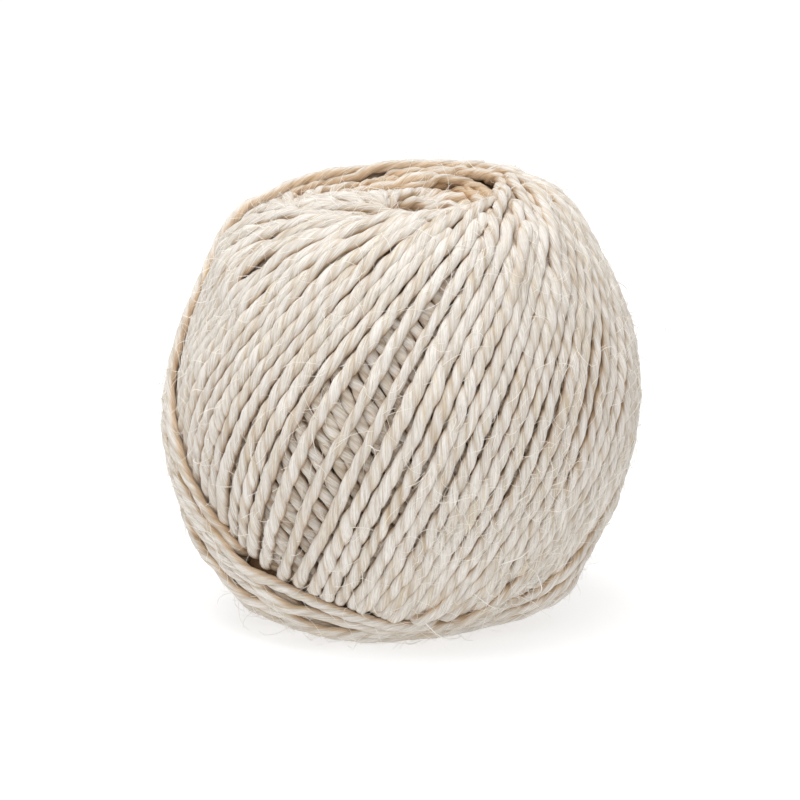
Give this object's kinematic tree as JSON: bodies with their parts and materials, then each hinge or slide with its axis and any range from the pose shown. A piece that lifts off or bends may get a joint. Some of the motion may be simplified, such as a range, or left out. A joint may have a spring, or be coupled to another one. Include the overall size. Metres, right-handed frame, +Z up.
{
  "type": "ball of string",
  "caption": "Round ball of plied sisal string, wound round a tilted axis, with a shallow hollow and a narrow hole at each end, standing on one end.",
  "frame": {"origin": "bottom centre of the ball's box, on the surface that it rests on", "axes": "+Z up, near the winding axis, which leans 3.3 degrees towards -X; -Y is the front, where the last turns sweep across the lower left"},
  "size_m": [0.0914, 0.0892, 0.0865],
  "materials": {
    "string": "matt natural fibre"
  },
  "bodies": {
    "root": {"string_ball": "string"}
  },
  "joints": []
}
